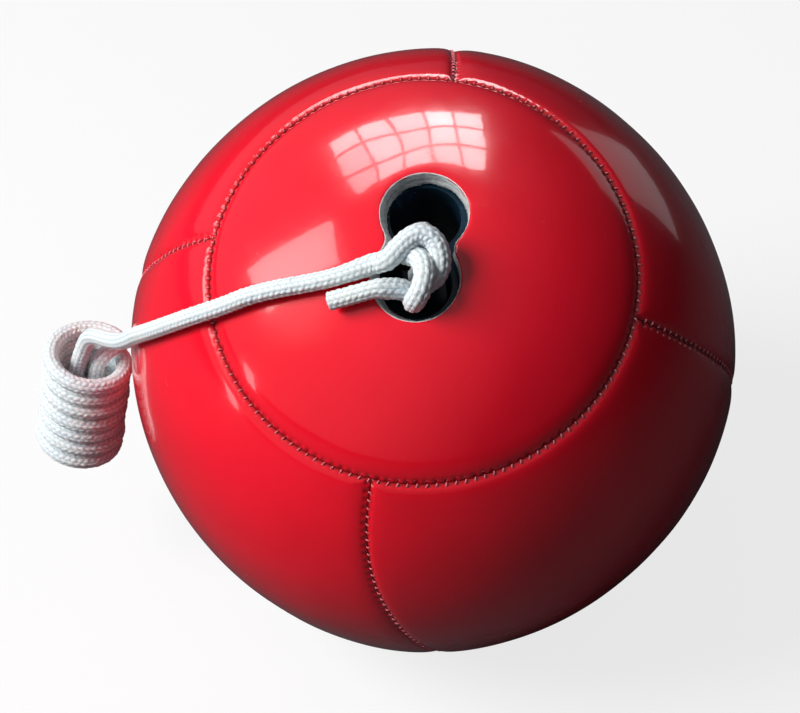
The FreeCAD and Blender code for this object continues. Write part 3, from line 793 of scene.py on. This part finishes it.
def side_panel(name, seam_a, seam_b, cad):
    """A side panel between two side seams, seam_b being the next one anticlockwise."""
    nu, nv = 196, 360
    vs = np.linspace(0, 1, nv)
    theta = (CAP_ANGLE + EDGE_GAP
             + (math.pi - 2 * CAP_ANGLE - 2 * EDGE_GAP) * crowd_ends(vs, 0.10))
    az_a, az_b = seam_azimuth(seam_a, theta), seam_azimuth(seam_b, theta)
    az_b = np.where(az_b < az_a.mean(), az_b + 2 * math.pi, az_b)
    gap = 0.03 / (BALL_R * np.sin(theta))
    az_a, az_b = az_a + gap, az_b - gap

    def surface(u, v, inset):
        """Points and seam attribute at u, v of 0..1."""
        th = np.interp(v, vs, theta)
        left = np.interp(th, theta, az_a)
        right = np.interp(th, theta, az_b)
        az = left + (right - left) * u
        from_top = BALL_R * (th - CAP_ANGLE)
        from_bottom = BALL_R * (math.pi - CAP_ANGLE - th)
        along_cap = az / (2 * math.pi) * CAP_STITCHES * PITCH
        drop = np.zeros_like(th)
        keep = np.ones_like(th)
        for dist, along, soft_side in (
                (BALL_R * np.sin(th) * (az - left), from_top, False),
                (BALL_R * np.sin(th) * (right - az), from_top, True),
                (from_top, along_cap, False), (from_bottom, along_cap, False)):
            dist = np.maximum(dist, 0)
            one = seam_drop(dist, along, soft_side)
            drop = np.maximum(drop, one) + 0.25 * np.minimum(drop, one)
            # the seam attribute, 0 at a seam and 1 from 5 mm away, sets the painted shade in the
            # grooves
            keep = np.minimum(keep, dist / 5.0)
        return place(th, az, drop, inset), np.clip(keep, 0, 1)

    us = crowd_ends(np.linspace(0, 1, nu), 0.62)
    points, keep = surface(*np.meshgrid(us, vs, indexing="ij"), 0.0)
    verts, seam = [points.reshape(-1, 3)], [keep.ravel()]
    quads = [grid_faces(nu, nv)]
    # the boundary, then ever smaller loops on the sheet's inner face
    rim = np.array([(i, 0) for i in range(nu)] + [(nu - 1, j) for j in range(1, nv)]
                   + [(i, nv - 1) for i in range(nu - 2, -1, -1)]
                   + [(0, j) for j in range(nv - 2, 0, -1)])
    outer = rim[:, 0] * nv + rim[:, 1]
    rim_u, rim_v = us[rim[:, 0]], vs[rim[:, 1]]
    base = nu * nv
    for size in (1.0, 0.94, 0.78, 0.5, 0.22):
        points, keep = surface(0.5 + (rim_u - 0.5) * size, 0.5 + (rim_v - 0.5) * size, SHEET)
        verts.append(points)
        seam.append(keep)
        inner = np.arange(len(rim)) + base
        base += len(rim)
        quads.append(band(outer, inner)[:, ::-1])
        outer = inner
    points, keep = surface(np.array([0.5]), np.array([0.5]), SHEET)
    verts.append(points)
    seam.append(keep)
    ball_piece(name, cad, np.vstack(verts), [np.vstack(quads), fan(outer, base)[:, ::-1]],
               VINYL, {"seam": np.concatenate(seam)})


def cap_panel(name, top, cad):
    """The top cap, with the port's hole, or the closed bottom cap."""
    na, ns = CAP_STITCHES * 6, 64
    az = np.arange(na) / na * 2 * math.pi

    def surface(az, t, inset, hole):
        """Points and seam attribute; t is 0 at the hole and 1 at the seam."""
        start = np.arcsin(np.clip(hole / BALL_R, 0, 1))
        theta = start + (CAP_ANGLE - EDGE_GAP - start) * t
        dist = BALL_R * (CAP_ANGLE - theta)
        drop = seam_drop(dist, az / (2 * math.pi) * CAP_STITCHES * PITCH, True)
        if top:                     # the cut edge turns down a little
            from_hole = BALL_R * (theta - start)
            drop = (drop + 0.22 * np.exp(-(from_hole / 0.8) ** 2)
                    + 0.20 * np.exp(-(from_hole / 5.0) ** 2))
        points = place(theta if top else math.pi - theta, az, drop, inset)
        # the seam attribute, 0 at the seam and 1 from 5 mm away, sets the painted shade in the
        # groove
        return points, np.clip(dist / 5.0, 0, 1)

    ts = 1 - (1 - np.linspace(0, 1, ns)) ** 1.9         # finer towards the seam
    if top:
        ts[1:4] = ts[4] * np.array([0.10, 0.28, 0.55])  # and at the cut edge
        hole = lobed_r(az, PORT_LOBE_R) + 0.18 * np.sin(az * 9 + 1.0) + 0.12 * np.sin(az * 23)
    else:
        hole = np.full(na, 1.2)
    az_grid, t_grid = np.meshgrid(az, ts, indexing="ij")
    points, keep = surface(az_grid, t_grid, 0.0, np.broadcast_to(hole[:, None], az_grid.shape))
    verts, seam = [points.reshape(-1, 3)], [keep.ravel()]
    quads = [grid_faces(na, ns, wrap_u=True, flip=top)]
    tris = []
    base = na * ns
    hole_rim = np.arange(na) * ns
    outer = hole_rim + ns - 1
    for t in (1.0, 0.93, 0.8, 0.6, 0.35, 0.15, 0.0):    # the sheet's inner face
        points, keep = surface(az, np.full(na, t), SHEET, hole)
        verts.append(points)
        seam.append(keep)
        inner = np.arange(na) + base
        base += na
        quad = band(outer, inner)
        quads.append(quad if top else quad[:, ::-1])
        outer = inner
    if top:
        quads.append(band(outer, hole_rim))
    else:                           # close both faces at the pole
        zero = np.array([0.0])
        for rim, inset, step in ((hole_rim, 0.0, -1), (outer, SHEET, 1)):
            points, keep = surface(zero, zero, inset, zero)
            verts.append(points)
            seam.append(keep)
            tris.append(fan(rim, base)[:, ::step])
            base += 1
    faces = [np.vstack(quads)] + ([np.vstack(tris)] if tris else [])
    ball_piece(name, cad, np.vstack(verts), faces, VINYL,
               {"seam": np.concatenate(seam)})


cap_panel("cover_top_sewn", True, "cover_cap_top")
cap_panel("cover_bottom_sewn", False, "cover_cap_bottom")
for corner, seam_a, seam_b in (("front_right", "front", "right"), ("back_right", "right", "back"),
                               ("back_left", "back", "left"), ("front_left", "left", "front")):
    side_panel("cover_side_%s_sewn" % corner, seam_a, seam_b, "cover_side_panel_" + corner)


# ------------------------------------------------------------------ stitches
def sew(name, cad, theta, az, shift, closed=False):
    """Short bowed threads across a seam, moved `shift` mm to one side of it.

    A closed seam is given with one extra place at each end, which gets no stitch.
    """
    radius = body_radius(theta, az) - GROOVE + 0.55
    points = port(direction(theta, az) * radius[:, None])
    alongs = unit(np.gradient(points, axis=0))
    normals = unit(points)
    acrosses = np.cross(normals, alongs)
    keep = points[:, 2] + CENTRE_Z > 1.5        # none where the ball rests
    if closed:
        keep[[0, -1]] = False
    centres = points + acrosses * shift

    ring, rows = 8, 9
    t = np.linspace(-1, 1, rows)
    thickness = 0.36 * np.sqrt(np.clip(1 - np.abs(t) ** 6 * 0.85, 0.05, 1))
    phase = np.arange(ring) / ring * 2 * math.pi
    verts, quads, tris = [], [], []
    base = 0
    stitches = zip(centres[keep], acrosses[keep], alongs[keep], normals[keep])
    for k, (centre, across, along, normal) in enumerate(stitches):
        half = 0.90 + 0.10 * math.sin(k * 2.3)
        lean = 0.30 + 0.10 * math.sin(k * 1.7)
        bow = 0.30 * (1 - t * t) + 0.05 * math.sin(k * 3.1) - 0.20 * t ** 4
        line = (centre + np.outer(t * half, across) + np.outer(t * lean, along)
                + np.outer(bow, normal))
        tube = line[:, None, :] + thickness[:, None, None] * (
            np.cos(phase)[None, :, None] * along + np.sin(phase)[None, :, None] * normal)
        verts += [tube.reshape(-1, 3), [line[0] - across * 0.1], [line[-1] + across * 0.1]]
        quads.append(base + tube_faces(rows, ring))
        tip = base + rows * ring
        first, last = base + np.arange(ring), tip - ring + np.arange(ring)
        tris += [fan(first, tip)[:, ::-1], fan(last, tip + 1)]
        base = tip + 2
    ball_piece(name, cad, np.vstack(verts), [np.vstack(quads), np.vstack(tris)],
               THREAD)


cap_az = (np.arange(-1, CAP_STITCHES + 1) + 0.5) / CAP_STITCHES * 2 * math.pi
for name, theta, shift in (("top", CAP_ANGLE, -0.5), ("bottom", math.pi - CAP_ANGLE, 0.5)):
    sew("stitches_" + name, "stitching_%s_seam" % name, np.full(CAP_STITCHES + 2, theta),
        cap_az, shift, closed=True)

side_length = BALL_R * (math.pi - 2 * CAP_ANGLE)
side_s = (np.arange(int(side_length / PITCH)) + 0.5) * PITCH
side_s = side_s[(side_s > 2.5) & (side_s < side_length - 2.5)]
side_theta = CAP_ANGLE + side_s / BALL_R
for name in SEAMS:
    sew("stitches_side_" + name, "stitching_side_seam_" + name, side_theta,
        seam_azimuth(name, side_theta), 0.45)


# ------------------------------------------------------------------ the port's edge and the foam
# section of the port's edge: (mm outside the hole, mm from the ball's centre, layer)
# the layer falls to 0 deep in the hole, where the felt's colour is painted shade
PORT_SECTION = [
    (-0.06, 138.2, 1.0), (-0.10, 138.95, 1.0), (-0.30, 139.08, 1.0), (-0.52, 138.9, 0.98),
    (-0.60, 138.2, 0.90), (-0.62, 137.4, 0.78), (-0.9, 136.4, 0.70), (-1.3, 135.4, 0.62),
    (-1.35, 134.9, 0.55), (-1.8, 134.2, 0.48), (-2.4, 133.3, 0.38), (-2.7, 132.4, 0.26),
    (-2.6, 131.6, 0.12), (-1.6, 131.15, 0.0), (3.0, 131.15, 0.0), (5.2, 131.6, 0.0),
    (5.2, 134.8, 0.5), (4.6, 136.9, 0.9), (0.3, 137.2, 1.0)]


def port_edge():
    """The felt edge in the hole, ragged, and moved towards +x lower down."""
    na = 420
    az = np.arange(na) / na * 2 * math.pi
    hole = lobed_r(az, PORT_LOBE_R)
    rings, layers = [], []
    for k, (offset, radius, layer) in enumerate(PORT_SECTION):
        reach = hole + offset
        if offset < 1.0:            # only the side facing the hole
            ragged = (0.42 * np.sin(az * 31 + k * 1.9) * np.sin(az * 13 + k)
                      + 0.30 * np.sin(az * 67 + k * 2.7))
            shift = 1.8 * np.cos(az) * min(1.0, max(0.0, (138.6 - radius) / 2.0))
            reach = reach + ragged * (0.12 if k < 5 else 1.0) + shift
        theta = np.arcsin(np.clip(reach / radius, 0, 1))
        rings.append(direction(theta, az) * radius)
        layers.append(np.full(na, layer))
    verts = port(np.stack(rings, 1).reshape(-1, 3))
    faces = grid_faces(na, len(PORT_SECTION), wrap_u=True, wrap_v=True, flip=True)
    ball_piece("port_cut_edge", "padding_port_ring", verts, [faces], FELT,
               {"layer": np.stack(layers, 1).ravel()})


def foam_half(name, upper, cad):
    """Half of the foam layer; the upper one is open at the port."""
    na, ns = 240, 46
    az = np.arange(na) / na * 2 * math.pi
    hole = lobed_r(az, FOAM_LOBE_R) if upper else np.full(na, 0.9)
    start = np.arcsin(hole / 135.0)[:, None]
    az_grid, t_grid = np.meshgrid(az, np.linspace(0, 1, ns), indexing="ij")
    theta = start + (math.pi / 2 - 0.002 - start) * t_grid
    if not upper:
        theta = math.pi - theta
    outward = direction(theta, az_grid)

    def shell(radius, floor_z):
        uneven = radius + 0.12 * wobble(outward * BALL_R, 5.0, 1.0)
        points = port(outward * uneven[..., None])
        points[..., 2] = np.maximum(points[..., 2] + CENTRE_Z, floor_z) - CENTRE_Z
        return points.reshape(-1, 3)

    shell_size = na * ns
    faces = [grid_faces(na, ns, wrap_u=True, flip=upper),
             grid_faces(na, ns, base=shell_size, wrap_u=True, flip=not upper)]
    for j, at_hole in ((ns - 1, False), (0, True)):
        rim = np.arange(na) * ns + j
        quads = band(rim, rim + shell_size)
        faces.append(quads[:, ::-1] if at_hole == upper else quads)
    verts = np.vstack([shell(135.6, 2.2), shell(131.2, 6.5)])
    ball_piece(name, cad, verts, [np.vstack(faces)], FOAM)


port_edge()
foam_half("foam_upper_half", True, "padding_upper_shell")
foam_half("foam_lower_half", False, "padding_lower_shell")


# ------------------------------------------------------------------ floor and world
def floor_material():
    """Pale and partly glowing to the camera, dark to every other ray."""
    mat, tree, shader = new_mat("floor_pale")
    tone = grey_ramp(tree, noise(tree, mapped(tree), scale=3.0, detail=4),
                     [(0.3, 0.88), (0.7, 0.92)])
    is_camera = tree.nodes.new("ShaderNodeLightPath").outputs["Is Camera Ray"]
    dim = tree.nodes.new("ShaderNodeMixRGB")
    set_inputs(tree, dim, {"Color1": (0.065, 0.065, 0.072, 1), "Fac": is_camera, "Color2": tone})
    set_inputs(tree, shader, {"Base Color": dim.outputs["Color"], "Roughness": 0.9,
                              "Specular IOR Level": 0.1})
    glow = tree.nodes.new("ShaderNodeEmission")
    set_inputs(tree, glow, {"Color": (1, 1, 1, 1), "Strength": 0.98})
    both = tree.nodes.new("ShaderNodeMixShader")
    set_inputs(tree, both, {0: calc(tree, "MULTIPLY", is_camera, 0.80), 1: shader.outputs[0],
                            2: glow.outputs[0]})
    set_inputs(tree, tree.nodes["Material Output"], {"Surface": both.outputs[0]})
    return mat


def studio_world():
    """White to the camera; for light, a gradient that is brightest at the upper left."""
    world = bpy.data.worlds.new("studio")
    scene.world = world
    world.use_nodes = True
    tree = world.node_tree
    lighting = tree.nodes["Background"]
    backdrop = tree.nodes.new("ShaderNodeBackground")
    is_camera = tree.nodes.new("ShaderNodeLightPath").outputs["Is Camera Ray"]
    mix = tree.nodes.new("ShaderNodeMixShader")
    coords = tree.nodes.new("ShaderNodeTexCoord")
    towards = tree.nodes.new("ShaderNodeVectorMath")
    towards.operation = "DOT_PRODUCT"
    set_inputs(tree, towards, {0: coords.outputs["Generated"],
                               1: Vector((-0.80, -0.10, 0.60)).normalized()})
    share = calc(tree, "ADD", calc(tree, "MULTIPLY", towards.outputs["Value"], 0.5), 0.5)
    gradient = ramp(tree, share, [(0.10, (0.009, 0.010, 0.014)), (0.42, (0.034, 0.037, 0.048)),
                                  (0.66, (0.16, 0.165, 0.18)), (1.0, (0.30, 0.31, 0.33))])
    set_inputs(tree, lighting, {"Color": gradient, "Strength": 1.0})
    set_inputs(tree, backdrop, {"Color": (1, 1, 1, 1), "Strength": 1.0})
    set_inputs(tree, mix, {0: is_camera, 1: lighting.outputs[0], 2: backdrop.outputs[0]})
    set_inputs(tree, tree.nodes["World Output"], {"Surface": mix.outputs[0]})


floor_corners = [[-30, -30, 0], [30, -30, 0], [30, 30, 0], [-30, 30, 0]]
floor = add_mesh("floor", floor_corners, [np.array([[0, 1, 2, 3]])], floor_material())
floor.location.z = -0.0002
studio_world()

# ------------------------------------------------------------------ camera
ELEVATION, AZIMUTH = math.radians(42.35), math.radians(4.66)
TO_CAMERA = np.array([math.sin(AZIMUTH) * math.cos(ELEVATION),
                      -math.cos(AZIMUTH) * math.cos(ELEVATION), math.sin(ELEVATION)])
RIGHT = np.array([math.cos(AZIMUTH), math.sin(AZIMUTH), 0])
UP = np.cross(TO_CAMERA, RIGHT)
BALL = CENTRE * MM
CAMERA_DISTANCE = 1.12

lens = bpy.data.cameras.new("camera")
lens.sensor_width = 36.0
lens.lens = 107.65
lens.shift_x = -0.041125
lens.shift_y = -0.007875
lens.clip_start, lens.clip_end = 0.01, 100
camera = bpy.data.objects.new("camera", lens)
scene.collection.objects.link(camera)
camera_axes = np.column_stack([RIGHT, UP, TO_CAMERA, BALL + TO_CAMERA * CAMERA_DISTANCE])
camera.matrix_world = Matrix(np.vstack([camera_axes, [0, 0, 0, 1]]).tolist())
scene.camera = camera

# ------------------------------------------------------------------ lights
EYE = 8.0                           # distance of the eye used for reflections, in ball radii


def mirrored(across, up, distance):
    """Where a light must stand to show in the ball, and the direction towards it.

    across, up: where it shows, from the ball's centre, as shares of the ball's seen radius.
    distance: metres from the ball's surface.
    """
    view = unit((RIGHT * across + UP * up) / math.sqrt(EYE ** 2 - 1) - TO_CAMERA)
    eye = TO_CAMERA * EYE
    towards = eye @ view
    reach = -towards - math.sqrt(towards ** 2 - (EYE ** 2 - 1))
    normal = unit(eye + reach * view)
    bounce = view - 2 * (view @ normal) * normal
    return BALL + normal * BALL_R * MM + bounce * distance, bounce


def area_light(name, position, outward, power, colour, width, height=None):
    """An area light facing against `outward`; a disk if it has no height."""
    data = bpy.data.lights.new(name, "AREA")
    data.shape = "RECTANGLE" if height else "DISK"
    data.size = width
    if height:
        data.size_y = height
    data.energy = power
    data.color = colour
    ob = bpy.data.objects.new(name, data)
    scene.collection.objects.link(ob)
    turn = Vector(outward).to_track_quat("Z", "Y").to_matrix().to_4x4()
    ob.matrix_world = Matrix.Translation(Vector(position)) @ turn
    return ob


# a window of 5 x 3 panes, seen only as a reflection
window, window_out = mirrored(across=-0.0693431, up=0.6907764, distance=2.4)
window_axes = Vector(window_out).to_track_quat("Z", "Y").to_matrix()
window_x, window_y = np.array(window_axes.col[0]), np.array(window_axes.col[1])
for ix in range(5):
    for iy in range(3):
        offset = window_x * (ix - 2.0) * 0.38 + window_y * (iy - 1.0) * 0.46
        pane = area_light("pane_%d_%d" % (ix, iy), window + offset, window_out,
                          power=4.0 - 0.5 * abs(ix - 1.0) + 0.4 * math.sin(ix * 2.1 + iy * 1.3),
                          colour=(1.0, 0.97, 0.97), width=0.34, height=0.40)
        pane.visible_diffuse = False

# fainter panels: name, (across, up, distance), power, colour, width, height
for name, spot, power, colour, width, height in (
        ("softbox_left", (-0.4542137, 0.2859987, 2.0), 10.0, (1.0, 0.97, 0.96), 0.7, 1.2),
        ("strip_left", (-0.6466490, -0.1386861, 2.0), 1.2, (1.0, 0.96, 0.96), 0.25, 0.5),
        ("fill_low_left", (-0.8656271, -0.3311214, 1.8), 1.6, (1.0, 0.96, 0.96), 0.3, 0.8),
        ("wall_upper_right", (0.6871267, 0.5812873, 2.4), 2.2, (1.0, 0.93, 0.95), 0.9, 1.9)):
    panel = area_light(name, *mirrored(*spot), power, colour, width, height)
    panel.visible_diffuse = False

# the key colours the vinyl but doesn't show in it
key_out = Vector((-0.72, -0.26, 0.64)).normalized()
key = area_light("key", Vector(BALL) + key_out * 2.2, key_out, power=64.0,
                 colour=(1.0, 0.98, 0.97), width=1.3)
key.visible_glossy = False

# ------------------------------------------------------------------ view transform
scene.view_settings.view_transform = "Standard"
